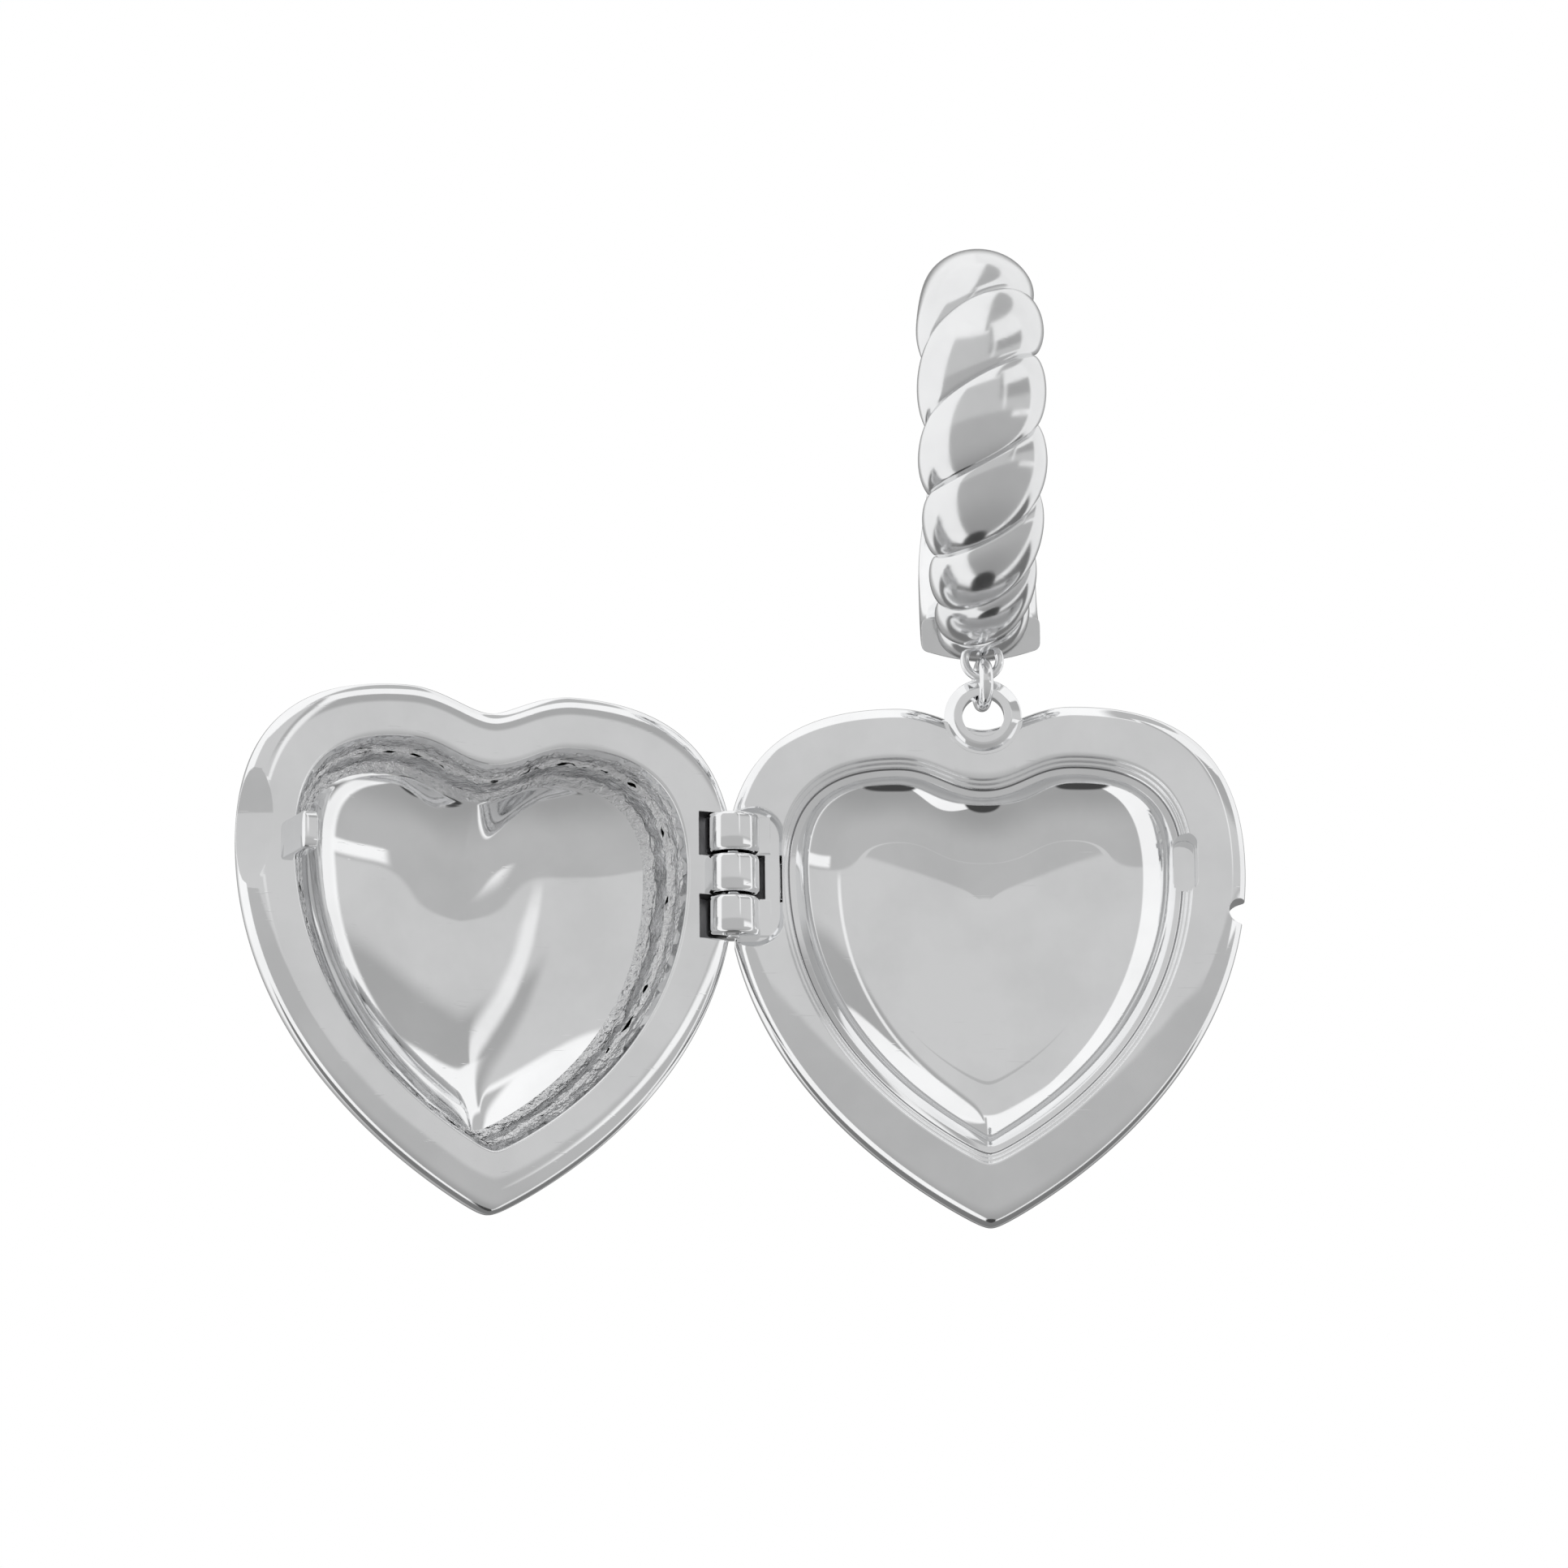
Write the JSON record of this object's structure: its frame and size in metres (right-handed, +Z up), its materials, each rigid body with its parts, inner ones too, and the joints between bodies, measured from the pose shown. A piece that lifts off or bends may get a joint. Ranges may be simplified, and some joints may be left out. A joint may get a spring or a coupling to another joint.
{
  "type": "locket earring",
  "caption": "Drop earring: a twisted huggie hoop with an ear post carries an open, hinged heart locket on a jump ring.",
  "frame": {"origin": "middle of the ear post, where it passes through the ear lobe and the earring hangs", "axes": "+X to the right seen from the front, across the hoop and the open locket; +Y to the back; +Z up"},
  "size_m": [0.0341, 0.0144, 0.0339],
  "materials": {
    "polished_silver": "mirror polished rhodium plate over brass",
    "plain_silver": "polished rhodium plate over brass, plain hidden side"
  },
  "bodies": {
    "hoop": {"hoop_front": "polished_silver", "hoop_back": "plain_silver", "ear_post": "plain_silver"},
    "ring": {"jump_ring": "polished_silver"},
    "back": {"locket_back": "polished_silver", "hinge_pin": "plain_silver"},
    "cover": {"locket_cover": "polished_silver"}
  },
  "joints": [
    {"name": "ring_swing", "type": "hinge", "parent": "hoop", "child": "ring", "pos_m": [0, -0.002, -0.01282], "axis": [1, 0, 0], "range_deg": [-30, 30]},
    {"name": "locket_sway", "type": "hinge", "parent": "ring", "child": "back", "pos_m": [0, -0.002, -0.01379], "axis": [0, 1, 0], "range_deg": [-25, 25]},
    {"name": "cover_hinge", "type": "hinge", "parent": "back", "child": "cover", "pos_m": [-0.00865, -0.00235, -0.01978], "axis": [0, 0, 1], "range_deg": [-15, 158]}
  ]
}
